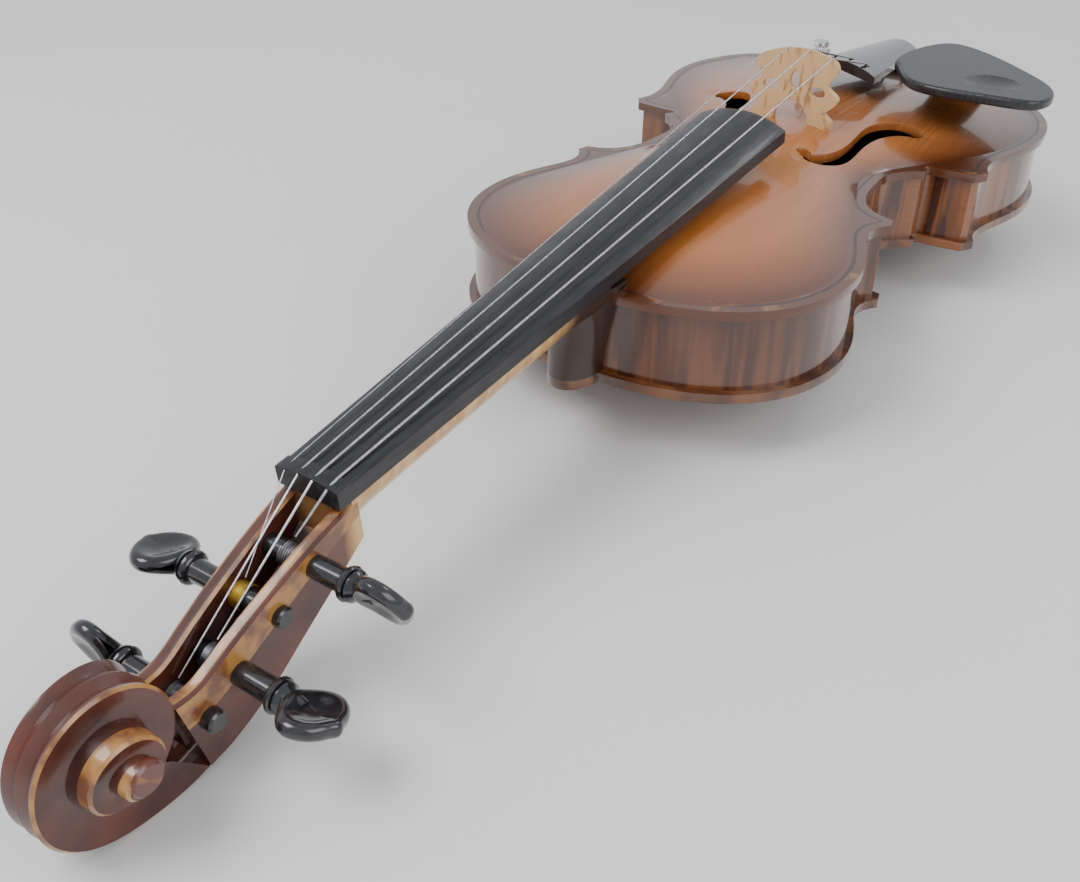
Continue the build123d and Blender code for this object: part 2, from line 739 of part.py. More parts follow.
with BuildPart() as tuner_lever:
    lever_low = tuner_seat - 14
    with Locations((tuner_x, (tuner_y - 3 + ear_y + 1.2) / 2, lever_low)):
        Box(lever_width, ear_y + 1.2 - tuner_y + 3, 2.2,
            align=(Align.CENTER, Align.CENTER, Align.MIN))
    with Locations((tuner_x, ear_y, lever_low)):
        Box(lever_width, 2.4, 20, align=(Align.CENTER, Align.CENTER, Align.MIN))
    with Locations(Location((tuner_x, ear_y, pin_level), (0, 90, 0))):
        Cylinder(pin_radius + 0.04, 20, mode=Mode.SUBTRACT)
finish(tuner_lever, "tuner_lever")

with BuildPart() as end_button:
    with Locations(Location((0, tail_edge + edge_overhang, back_face + rib_height / 2),
                            (90, 0, 0))):
        Cone(button_radius, button_radius - 0.8, 3.0,
             align=(Align.CENTER, Align.CENTER, Align.MIN))
        with Locations((0, 0, 3.0)):
            Cylinder(4.6, 3.0, align=(Align.CENTER, Align.CENTER, Align.MIN))
        with Locations((0, 0, 6.0)):
            Cylinder(button_radius, 6.0, align=(Align.CENTER, Align.CENTER, Align.MIN))
        Cylinder(3.9, 30, align=(Align.CENTER, Align.CENTER, Align.MAX))
finish(end_button, "end_button")

gut_radius = 1.0
saddle_top = top_face + 12.0
gut_level = tail_level(tailpiece_rear) - 5.2
stem_y = tail_edge + edge_overhang - 4.5
button_z = back_face + rib_height / 2
with BuildPart() as tail_gut:
    for side in (-1, 1):
        x = side * gut_spacing
        with BuildLine() as strand:
            FilletPolyline((x, tailpiece_rear + 7, gut_level), (x, tailpiece_rear - 3, gut_level),
                           (x * 0.95, stem_y - 0.6, button_z + 6), radius=2.0)
        with BuildSketch(Plane(origin=strand.line @ 0, z_dir=strand.line % 0)):
            Circle(gut_radius)
        sweep(transition=Transition.RIGHT)
    with Locations(Location((0, stem_y, button_z), (90, 0, 0))):
        Torus(4.6 + gut_radius + 0.05, gut_radius)
    add(saddle.part, mode=Mode.SUBTRACT)
    add(tailpiece.part, mode=Mode.SUBTRACT)
    add(end_button.part, mode=Mode.SUBTRACT)
finish(tail_gut, "tail_gut")

# ---- chin rest: plate, cork pads, bracket and two turnbuckles ------------------------
rest_level = 74.0
rest_thickness = 5.0
rest_points = [(-27, -70), (-29, -112), (-40, -127), (-62, -118), (-90, -92), (-108, -62),
               (-103, -44), (-88, -40), (-66, -38), (-44, -42)]
clamp_x = (-54.0, -36.0)
barrel_radius = 3.2
rod_radius = 1.4
barrel_fit = 0.05
clamp_gap = 3.5


def tail_rim(x):
    """Where the body's tail edge lies at x."""
    return min(y for y in range(-161, 0) if half_width(y) >= abs(x))


clamp_y = tail_rim(clamp_x[1]) - barrel_radius - clamp_gap
clamp_middle = (clamp_x[0] + clamp_x[1]) / 2
clamp_level = top_level + 2.0

with BuildPart() as chin_rest_plate:
    with BuildSketch(Plane.XY.offset(rest_level)):
        with BuildLine():
            Spline(*rest_points, periodic=True)
        make_face()
    extrude(amount=rest_thickness)
    fillet(chin_rest_plate.edges().group_by(Axis.Z)[-1], 1.8)
    fillet(chin_rest_plate.edges().group_by(Axis.Z)[0], 1.2)
    with Locations((-78, -62, rest_level + rest_thickness + 46)):
        Sphere(48, mode=Mode.SUBTRACT)
    with BuildSketch(Plane.YZ.offset(clamp_middle)):
        with BuildLine():
            Polyline((clamp_y - 4, clamp_level), (clamp_y + 16, clamp_level),
                     (-132, rest_level - 4), (-112, rest_level + 1), (-118, rest_level + 4),
                     (-136, rest_level), (clamp_y + 14, clamp_level + 4),
                     (clamp_y - 4, clamp_level + 3), close=True)
        make_face()
    extrude(amount=14, both=True)
finish(chin_rest_plate, "chin_rest_plate")

with BuildPart() as chin_rest_cork:
    with Locations((clamp_middle, clamp_y + 12.5, top_level)):
        Box(28, 7, 2.0, align=(Align.CENTER, Align.CENTER, Align.MIN))
    add(top_plate.part, mode=Mode.SUBTRACT)
finish(chin_rest_cork, "chin_rest_cork")

with BuildPart() as chin_rest_bracket:
    with Locations((clamp_middle, clamp_y + 6, back_bottom - 5)):
        Box(30, 18, 2.5, align=(Align.CENTER, Align.CENTER, Align.MIN))
finish(chin_rest_bracket, "chin_rest_bracket")

with BuildPart() as bracket_cork:
    with Locations((clamp_middle, clamp_y + 12.0, back_bottom - 2.5)):
        Box(28, 5, 2.5, align=(Align.CENTER, Align.CENTER, Align.MIN))
    add(back_plate.part, mode=Mode.SUBTRACT)
finish(bracket_cork, "bracket_cork")

rod_low = back_bottom - 2.5
rod_high = top_level + 2.0
barrel_low = back_face + 2
barrel_high = top_face - 2
barrel_middle = (barrel_low + barrel_high) / 2
with BuildPart() as clamp_rods:
    for x in clamp_x:
        with Locations((x, clamp_y, rod_low)):
            Cylinder(rod_radius, barrel_middle - 1 - rod_low,
                     align=(Align.CENTER, Align.CENTER, Align.MIN))
        with Locations((x, clamp_y, barrel_middle + 1)):
            Cylinder(rod_radius, rod_high - barrel_middle - 1,
                     align=(Align.CENTER, Align.CENTER, Align.MIN))
finish(clamp_rods, "clamp_rods")

for x, name in ((clamp_x[0], "clamp_barrel_outer"), (clamp_x[1], "clamp_barrel_inner")):
    with BuildPart() as barrel:
        with Locations((x, clamp_y, barrel_low)):
            Cylinder(barrel_radius, barrel_high - barrel_low,
                     align=(Align.CENTER, Align.CENTER, Align.MIN))
            Cylinder(rod_radius + barrel_fit, barrel_high - barrel_low,
                     align=(Align.CENTER, Align.CENTER, Align.MIN), mode=Mode.SUBTRACT)
        for height in (barrel_middle - 7, barrel_middle + 7):
            with Locations(Location((x, clamp_y, height), (90, 0, 0))):
                Cylinder(0.9, 20, mode=Mode.SUBTRACT)
    finish(barrel, name)
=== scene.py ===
import json
import math

import bmesh
import bpy
from mathutils import Matrix, Vector


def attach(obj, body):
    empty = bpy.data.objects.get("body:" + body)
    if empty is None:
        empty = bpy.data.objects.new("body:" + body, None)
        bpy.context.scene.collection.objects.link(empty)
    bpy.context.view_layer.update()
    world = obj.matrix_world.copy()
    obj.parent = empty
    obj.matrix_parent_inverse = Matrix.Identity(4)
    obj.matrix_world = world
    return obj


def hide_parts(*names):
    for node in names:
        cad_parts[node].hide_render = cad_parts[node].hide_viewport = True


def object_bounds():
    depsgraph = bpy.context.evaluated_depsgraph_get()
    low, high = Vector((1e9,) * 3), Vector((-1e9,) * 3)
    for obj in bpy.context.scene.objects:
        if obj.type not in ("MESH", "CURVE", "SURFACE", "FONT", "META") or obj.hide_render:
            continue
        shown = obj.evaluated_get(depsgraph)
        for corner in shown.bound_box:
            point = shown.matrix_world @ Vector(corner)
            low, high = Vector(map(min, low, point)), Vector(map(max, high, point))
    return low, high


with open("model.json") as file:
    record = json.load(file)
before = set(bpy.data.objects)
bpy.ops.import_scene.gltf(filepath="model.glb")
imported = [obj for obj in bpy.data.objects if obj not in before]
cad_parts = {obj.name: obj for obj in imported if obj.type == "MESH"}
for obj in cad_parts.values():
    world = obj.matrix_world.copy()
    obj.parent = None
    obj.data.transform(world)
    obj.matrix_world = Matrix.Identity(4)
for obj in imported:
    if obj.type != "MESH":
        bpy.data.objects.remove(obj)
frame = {"nodes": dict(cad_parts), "record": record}
cad_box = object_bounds()

MM = 0.001

# ---- places taken from the construction, in millimetres ----------------------------
neck_slope = math.radians(6.2)
nut_y = 330.5
top_level = 50.0
nut_z = top_level + 5.5 - 135.5 * math.tan(neck_slope)
back_face = 15.0
eye = (85.0, -18.5)
trough_start = 4.0
trough_end = 66.5
wall = 5.0


def neck_point(x, along, up):
    """A point beside (x), behind the nut (along) and above the glue face (up), in metres."""
    y = nut_y + along * math.cos(neck_slope) + up * math.sin(neck_slope)
    z = nut_z - along * math.sin(neck_slope) + up * math.cos(neck_slope)
    return Vector((x, y, z)) * MM


def between(table, value):
    """Smooth reading of a short table of (place, size) pairs."""
    if value <= table[0][0]:
        return table[0][1]
    for (a, low), (b, high) in zip(table, table[1:]):
        if value <= b:
            return low + (high - low) * (value - a) / (b - a)
    return table[-1][1]


def eased(table, value):
    """The same table read through a smooth curve (Catmull-Rom)."""
    last = len(table) - 1
    if value <= table[0][0]:
        return table[0][1]
    if value >= table[last][0]:
        return table[last][1]
    k = next(i for i in range(last) if value <= table[i + 1][0])
    x1, y1 = table[k]
    x2, y2 = table[k + 1]
    x0, y0 = table[max(k - 1, 0)]
    x3, y3 = table[min(k + 2, last)]
    span = x2 - x1
    m1 = (y2 - y0) / (x2 - x0) * span
    m2 = (y3 - y1) / (x3 - x1) * span
    t = (value - x1) / span
    return ((2 * t ** 3 - 3 * t ** 2 + 1) * y1 + (t ** 3 - 2 * t ** 2 + t) * m1
            + (-2 * t ** 3 + 3 * t ** 2) * y2 + (t ** 3 - t ** 2) * m2)


# ---- shader groups -------------------------------------------------------------------
def new_group(name, inputs, outputs):
    group = bpy.data.node_groups.new(name, "ShaderNodeTree")
    for label, kind, value in inputs:
        socket = group.interface.new_socket(label, in_out="INPUT", socket_type=kind)
        if value is not None:
            socket.default_value = value
    for label, kind in outputs:
        group.interface.new_socket(label, in_out="OUTPUT", socket_type=kind)
    group.nodes.new("NodeGroupInput").name = "in"
    group.nodes.new("NodeGroupOutput").name = "out"
    return group


def link(tree, a, b):
    tree.links.new(a, b)


def wood_grain_group():
    """Grain lines along one axis with flame across them; gives a grain mask and a height."""
    group = new_group("wood_grain",
                      [("Scale", "NodeSocketVector", (900.0, 18.0, 300.0)),
                       ("Flame Scale", "NodeSocketVector", (10.0, 170.0, 30.0)),
                       ("Flame", "NodeSocketFloat", 0.0)],
                      [("Grain", "NodeSocketFloat"), ("Flame", "NodeSocketFloat"),
                       ("Height", "NodeSocketFloat")])
    nodes = group.nodes
    place = nodes.new("ShaderNodeTexCoord")
    stretch = nodes.new("ShaderNodeVectorMath")
    stretch.operation = "MULTIPLY"
    link(group, place.outputs["Object"], stretch.inputs[0])
    link(group, nodes["in"].outputs["Scale"], stretch.inputs[1])
    noise = nodes.new("ShaderNodeTexNoise")
    noise.inputs["Scale"].default_value = 1.0
    noise.inputs["Detail"].default_value = 4.0
    link(group, stretch.outputs[0], noise.inputs["Vector"])
    across = nodes.new("ShaderNodeVectorMath")
    across.operation = "MULTIPLY"
    link(group, place.outputs["Object"], across.inputs[0])
    link(group, nodes["in"].outputs["Flame Scale"], across.inputs[1])
    flame = nodes.new("ShaderNodeTexNoise")
    flame.inputs["Scale"].default_value = 1.0
    flame.inputs["Detail"].default_value = 2.0
    flame.inputs["Distortion"].default_value = 0.6
    link(group, across.outputs[0], flame.inputs["Vector"])
    sharpen = nodes.new("ShaderNodeMapRange")
    sharpen.inputs["From Min"].default_value = 0.38
    sharpen.inputs["From Max"].default_value = 0.62
    link(group, flame.outputs["Fac"], sharpen.inputs["Value"])
    amount = nodes.new("ShaderNodeMath")
    amount.operation = "MULTIPLY"
    link(group, sharpen.outputs["Result"], amount.inputs[0])
    link(group, nodes["in"].outputs["Flame"], amount.inputs[1])
    link(group, noise.outputs["Fac"], nodes["out"].inputs["Grain"])
    link(group, amount.outputs[0], nodes["out"].inputs["Flame"])
    link(group, noise.outputs["Fac"], nodes["out"].inputs["Height"])
    return group


def wear_group():
    """Rubbed ridges and gathered dirt: reads the curvature of the surface."""
    group = new_group("edge_wear",
                      [("Low", "NodeSocketFloat", 0.52), ("High", "NodeSocketFloat", 0.60)],
                      [("Ridge", "NodeSocketFloat"), ("Hollow", "NodeSocketFloat")])
    nodes = group.nodes
    geometry = nodes.new("ShaderNodeNewGeometry")
    noise = nodes.new("ShaderNodeTexNoise")
    noise.inputs["Scale"].default_value = 160.0
    place = nodes.new("ShaderNodeTexCoord")
    link(group, place.outputs["Object"], noise.inputs["Vector"])
    ridge = nodes.new("ShaderNodeMapRange")
    link(group, geometry.outputs["Pointiness"], ridge.inputs["Value"])
    link(group, nodes["in"].outputs["Low"], ridge.inputs["From Min"])
    link(group, nodes["in"].outputs["High"], ridge.inputs["From Max"])
    patchy = nodes.new("ShaderNodeMath")
    patchy.operation = "MULTIPLY"
    link(group, ridge.outputs["Result"], patchy.inputs[0])
    link(group, noise.outputs["Fac"], patchy.inputs[1])
    hollow = nodes.new("ShaderNodeMapRange")
    hollow.inputs["From Min"].default_value = 0.49
    hollow.inputs["From Max"].default_value = 0.42
    link(group, geometry.outputs["Pointiness"], hollow.inputs["Value"])
    link(group, patchy.outputs[0], nodes["out"].inputs["Ridge"])
    link(group, hollow.outputs["Result"], nodes["out"].inputs["Hollow"])
    return group


grain_group = wood_grain_group()
edge_group = wear_group()


class Finish:
    """A material with a Principled shader, built step by step."""

    def __init__(self, name, roughness, coat=0.0, metallic=0.0):
        self.material = bpy.data.materials.new(name)
        self.material.use_nodes = True
        self.tree = self.material.node_tree
        self.shader = self.tree.nodes["Principled BSDF"]
        self.shader.inputs["Roughness"].default_value = roughness
        self.shader.inputs["Metallic"].default_value = metallic
        self.shader.inputs["Coat Weight"].default_value = coat
        self.shader.inputs["Coat Roughness"].default_value = 0.06

    def node(self, kind, **settings):
        made = self.tree.nodes.new(kind)
        for key, value in settings.items():
            setattr(made, key, value)
        return made

    def group(self, tree, **values):
        made = self.node("ShaderNodeGroup", node_tree=tree)
        for key, value in values.items():
            made.inputs[key.replace("_", " ")].default_value = value
        return made

    def link(self, a, b):
        self.tree.links.new(a, b)

    def mix(self, factor, first, second, blend="MIX"):
        """Mix two colours; each is a socket or a plain colour."""
        made = self.node("ShaderNodeMix", data_type="RGBA", blend_type=blend)
        for source, socket in ((factor, made.inputs[0]), (first, made.inputs[6]),
                               (second, made.inputs[7])):
            if isinstance(source, (int, float)):
                socket.default_value = source
            elif isinstance(source, tuple):
                socket.default_value = (*source, 1.0)
            else:
                self.link(source, socket)
        return made.outputs[2]

    def ramp(self, value, *stops):
        made = self.node("ShaderNodeValToRGB")
        elements = made.color_ramp.elements
        while len(elements) < len(stops):
            elements.new(0.5)
        for element, (place, shade) in zip(elements, stops):
            element.position = place
            element.color = (*shade, 1.0) if isinstance(shade, tuple) else (shade,) * 3 + (1.0,)
        self.link(value, made.inputs[0])
        return made.outputs[0]

    def range(self, value, low, high, to_low=0.0, to_high=1.0):
        made = self.node("ShaderNodeMapRange")
        made.inputs["From Min"].default_value = low
        made.inputs["From Max"].default_value = high
        made.inputs["To Min"].default_value = to_low
        made.inputs["To Max"].default_value = to_high
        self.link(value, made.inputs["Value"])
        return made.outputs["Result"]

    def axis(self, name):
        """One Object coordinate in metres."""
        place = self.node("ShaderNodeTexCoord")
        apart = self.node("ShaderNodeSeparateXYZ")
        self.link(place.outputs["Object"], apart.inputs[0])
        return apart.outputs[name]

    def noise(self, scale, detail=3.0):
        place = self.node("ShaderNodeTexCoord")
        made = self.node("ShaderNodeTexNoise")
        made.inputs["Scale"].default_value = scale
        made.inputs["Detail"].default_value = detail
        self.link(place.outputs["Object"], made.inputs["Vector"])
        return made.outputs["Fac"]

    def colour(self, source):
        self.link(source, self.shader.inputs["Base Color"])

    def bump(self, height, strength, distance=0.0002):
        made = self.node("ShaderNodeBump")
        made.inputs["Strength"].default_value = strength
        made.inputs["Distance"].default_value = distance
        self.link(height, made.inputs["Height"])
        self.link(made.outputs["Normal"], self.shader.inputs["Normal"])


def top_varnish():
    f = Finish("top_varnish", 0.24, coat=0.7)
    grain = f.group(grain_group, Scale=(1100.0, 9.0, 60.0))
    body = f.ramp(grain.outputs["Grain"], (0.3, (0.30, 0.095, 0.026)), (0.7, (0.43, 0.155, 0.045)))
    cloud = f.range(f.noise(11.0, 2.0), 0.35, 0.65)
    body = f.mix(cloud, body, (0.40, 0.125, 0.025))
    rise = f.range(f.axis("Z"), 0.0502, 0.0545)
    shaded = f.mix(rise, (0.09, 0.022, 0.006), body)
    wear = f.group(edge_group, Low=0.53, High=0.62)
    shaded = f.mix(f.range(wear.outputs["Ridge"], 0.3, 0.9, 0.0, 0.5), shaded, (0.55, 0.28, 0.10))
    f.colour(shaded)
    f.bump(grain.outputs["Height"], 0.08)
    return f.material


def maple_varnish(name, flame_scale, dark, light):
    f = Finish(name, 0.2, coat=0.8)
    grain = f.group(grain_group, Scale=(60.0, 60.0, 700.0), Flame_Scale=flame_scale, Flame=1.0)
    body = f.ramp(grain.outputs["Flame"], (0.1, dark), (0.9, light))
    body = f.mix(f.range(grain.outputs["Grain"], 0.35, 0.7, 0.0, 0.25), body, dark)
    cloud = f.range(f.noise(7.0, 1.0), 0.4, 0.65, 0.0, 0.7)
    body = f.mix(cloud, body, dark)
    wear = f.group(edge_group, Low=0.53, High=0.64)
    body = f.mix(f.range(wear.outputs["Ridge"], 0.3, 0.9, 0.0, 0.5), body, (0.30, 0.13, 0.05))
    f.colour(body)
    f.bump(grain.outputs["Height"], 0.05)
    return f.material


def neck_wood():
    """Dark varnish on head and heel, bare rubbed maple between them; the heel is painted near-black,
    partly its own dark varnish and partly painted shade.
    """
    f = Finish("neck_wood", 0.3, coat=0.45)
    grain = f.group(grain_group, Scale=(500.0, 20.0, 500.0), Flame_Scale=(20.0, 200.0, 60.0),
                    Flame=1.0)
    bare = f.ramp(grain.outputs["Flame"], (0.0, (0.50, 0.26, 0.09)), (1.0, (0.66, 0.40, 0.17)))
    dark = f.ramp(f.noise(60.0), (0.3, (0.045, 0.012, 0.008)), (0.7, (0.13, 0.032, 0.018)))
    wear = f.group(edge_group, Low=0.54, High=0.66)
    dark = f.mix(f.range(wear.outputs["Ridge"], 0.2, 0.6, 0.0, 0.5), dark, (0.36, 0.15, 0.04))
    y = f.axis("Y")
    head = f.range(y, 0.3315, 0.3355)
    # painted shade: the heel is mixed to near-black, darker than the head's varnish; partly real dark
    # varnish, partly painted shade where the heel sits in shadow
    heel = f.range(y, 0.2350, 0.2180)
    f.colour(f.mix(heel, f.mix(head, bare, dark), (0.028, 0.010, 0.006)))
    f.bump(grain.outputs["Height"], 0.06)
    return f.material


def worn_edge():
    """Chamfers where the dark varnish is rubbed down to golden ochre."""
    f = Finish("worn_edge", 0.3, coat=0.6)
    patches = f.range(f.noise(130.0), 0.42, 0.62)
    f.colour(f.mix(patches, (0.42, 0.19, 0.045), (0.16, 0.055, 0.02)))
    f.bump(f.noise(400.0), 0.1)
    return f.material


def ebony(name, roughness, coat):
    f = Finish(name, roughness, coat=coat)
    grain = f.group(grain_group, Scale=(700.0, 14.0, 700.0))
    f.colour(f.ramp(grain.outputs["Grain"], (0.35, (0.006, 0.006, 0.008)),
                    (0.75, (0.022, 0.022, 0.027))))
    f.link(f.range(f.noise(90.0), 0.3, 0.7, roughness, roughness + 0.12),
           f.shader.inputs["Roughness"])
    f.bump(grain.outputs["Height"], 0.06)
    return f.material


def bridge_maple():
    f = Finish("bridge_maple", 0.5)
    grain = f.group(grain_group, Scale=(260.0, 900.0, 60.0), Flame=0.0)
    flecks = f.range(grain.outputs["Grain"], 0.56, 0.66)
    f.colour(f.mix(flecks, (0.66, 0.42, 0.20), (0.40, 0.21, 0.08)))
    f.bump(grain.outputs["Height"], 0.1)
    return f.material


def bare_wood():
    f = Finish("bare_wood", 0.6)
    grain = f.group(grain_group, Scale=(500.0, 12.0, 200.0))
    f.colour(f.ramp(grain.outputs["Grain"], (0.3, (0.55, 0.38, 0.20)), (0.7, (0.74, 0.57, 0.35))))
    f.bump(grain.outputs["Height"], 0.1)
    return f.material


def dyed_strip():
    f = Finish("dyed_strip", 0.35, coat=0.5)
    f.colour(f.ramp(f.noise(240.0), (0.3, (0.018, 0.010, 0.007)), (0.7, (0.05, 0.025, 0.014))))
    return f.material


def metal(name, low, high, roughness):
    f = Finish(name, roughness, metallic=1.0)
    f.colour(f.ramp(f.noise(500.0), (0.3, low), (0.7, high)))
    f.link(f.range(f.noise(300.0), 0.3, 0.7, roughness, roughness + 0.12),
           f.shader.inputs["Roughness"])
    return f.material


def scaled_rest():
    """Glossy black with a scale pattern stamped in the upper face."""
    f = Finish("scaled_rest", 0.34, coat=0.15)
    place = f.node("ShaderNodeTexCoord")
    cells = f.node("ShaderNodeTexVoronoi", feature="DISTANCE_TO_EDGE")
    cells.inputs["Scale"].default_value = 330.0
    cells.inputs["Randomness"].default_value = 0.35
    f.link(place.outputs["Object"], cells.inputs["Vector"])
    scale = f.range(cells.outputs["Distance"], 0.0, 0.25)
    f.colour(f.mix(scale, (0.022, 0.022, 0.025), (0.010, 0.010, 0.011)))
    f.bump(scale, 0.22, 0.0003)
    return f.material


def cork_pad():
    f = Finish("cork_pad", 0.8)
    f.colour(f.ramp(f.noise(420.0), (0.35, (0.20, 0.10, 0.05)), (0.65, (0.55, 0.36, 0.20))))
    f.bump(f.noise(500.0), 0.4)
    return f.material


finishes = {
    "spruce_varnish": top_varnish(),
    "maple_varnish": maple_varnish("rib_varnish", (150.0, 150.0, 12.0), (0.055, 0.014, 0.006),
                                   (0.24, 0.075, 0.018)),
    "head_varnish": neck_wood(),
    "ebony": ebony("satin_ebony", 0.33, 0.1),
    "peg_black": ebony("polished_ebony", 0.14, 0.6),
    "polished_black": ebony("gloss_black", 0.10, 0.8),
    "bridge_maple": bridge_maple(),
    "bare_spruce": bare_wood(),
    "purfling_black": dyed_strip(),
    "string_metal": metal("wound_steel", (0.45, 0.45, 0.46), (0.75, 0.75, 0.77), 0.25),
    "plated_steel": metal("plated_steel", (0.70, 0.70, 0.72), (0.85, 0.85, 0.87), 0.12),
    "cork": cork_pad(),
}
back_finish = maple_varnish("back_varnish", (8.0, 130.0, 20.0), (0.05, 0.014, 0.006),
                            (0.26, 0.085, 0.02))
silk_finish = metal("wound_silk", (0.50, 0.30, 0.04), (0.75, 0.52, 0.10), 0.45)
dark_wire = metal("dark_wire", (0.10, 0.10, 0.11), (0.30, 0.30, 0.31), 0.35)
rest_finish = scaled_rest()

slot_of = {entry["node"]: entry["material_slot"] for entry in frame["record"]["subparts"]}
for name, node in frame["nodes"].items():
    finish = finishes[slot_of[name]]
    if name == "back_plate":
        finish = back_finish
    if name == "chin_rest_plate":
        finish = rest_finish
    node.data.materials.clear()
    node.data.materials.append(finish)

rounded = {"top_plate": 1.3, "back_plate": 1.3, "bridge": 0.35, "fingerboard": 0.5, "nut": 0.7,
           "saddle": 0.5, "tailpiece": 0.8, "end_button": 0.8, "tuner_screw": 0.4,
           "tuner_body": 0.3}
for name, width in rounded.items():
    node = frame["nodes"][name]
    weld = node.modifiers.new("weld", "WELD")
    weld.merge_threshold = 0.00001
    soften = node.modifiers.new("soften", "BEVEL")
    soften.width = width * MM
    soften.segments = 3
    soften.limit_method = "ANGLE"
    soften.angle_limit = math.radians(50)
    soften.use_clamp_overlap = True
    soften.harden_normals = False


# ---- building helpers -----------------------------------------------------------------
def piece_from(mesh_builder, name, body, nodes, finish, smooth_angle=45):
    """Turn a bmesh into a finished object that rides on a body."""
    bmesh.ops.remove_doubles(mesh_builder, verts=mesh_builder.verts, dist=1e-7)
    bmesh.ops.recalc_face_normals(mesh_builder, faces=mesh_builder.faces)
    mesh = bpy.data.meshes.new(name)
    mesh_builder.to_mesh(mesh)
    mesh_builder.free()
    piece = bpy.data.objects.new(name, mesh)
    bpy.context.scene.collection.objects.link(piece)
    bpy.ops.object.select_all(action="DESELECT")
    piece.select_set(True)
    bpy.context.view_layer.objects.active = piece
    bpy.ops.object.shade_smooth_by_angle(angle=math.radians(smooth_angle))
    piece.data.materials.append(finish)
    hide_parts(*nodes)
    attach(piece, body)
    return piece


def skin(bm, rows, closed_rows=False, wrap=False, cap=False, worn=None):
    """Join rows of points with faces; wrap closes each row on itself."""
    made = [[bm.verts.new(point) for point in row] for row in rows]
    worn = worn or ()
    total = len(made) if closed_rows else len(made) - 1
    for i in range(total):
        first = made[i]
        second = made[(i + 1) % len(made)]
        count = len(first) if wrap else len(first) - 1
        for j in range(count):
            k = (j + 1) % len(first)
            face = bm.faces.new((first[j], first[k], second[k], second[j]))
            face.material_index = 1 if j in worn else 0
    if cap:
        bm.faces.new(made[0])
        bm.faces.new(list(reversed(made[-1])))
    return made


# ---- pegbox and scroll -----------------------------------------------------------------
# Angles run round the eye from below the throat (234) under the front and over the top.
turn_radius = [(234, 36.2), (250, 32.2), (270, 29.0), (300, 26.6), (330, 24.2), (360, 22.0),
               (405, 20.6), (450, 19.6), (495, 18.6), (540, 17.2), (580, 15.6), (630, 14.2),
               (675, 13.0), (720, 11.9), (765, 10.9), (810, 9.9), (900, 8.3), (990, 7.0),
               (1080, 5.8), (1170, 4.6)]
turn_width = [(234, 8.6), (270, 7.2), (330, 6.3), (400, 6.3), (460, 7.0), (540, 9.3), (594, 10.6),
              (630, 11.4), (720, 13.2), (810, 15.0), (900, 16.6), (990, 18.0), (1080, 19.2),
              (1170, 19.8)]
back_run = [(-1, -15.5), (10, -22.5), (25, -31.5), (40, -40.5), (55, -46.4), (63.7, -47.8)]
cheek_run = [(-1, -0.6), (16, -4.0), (32, -8.6), (47, -13.8), (60, -18.8), (68.1, -18.5)]
box_width = [(-1, 12.2), (66, 8.8)]
chamfer = 0.8
steps_a_turn = 60
step_angle = 360 / steps_a_turn


def volute_point(angle, inward, x):
    radius = eased(turn_radius, angle) - inward
    turn = math.radians(angle)
    return neck_point(x, eye[0] + radius * math.cos(turn), eye[1] + radius * math.sin(turn))


def rim_profile(half, depth):
    """Across the rim: two grooves with a ridge between them, as (x, drop) pairs."""
    shares = (-1.0, -0.86, -0.5, -0.14, 0.0, 0.14, 0.5, 0.86, 1.0)
    drops = (0.0, 0.15, 1.0, 0.25, 0.0, 0.25, 1.0, 0.15, 0.0)
    return [(share * half, drop * depth) for share, drop in zip(shares, drops)]


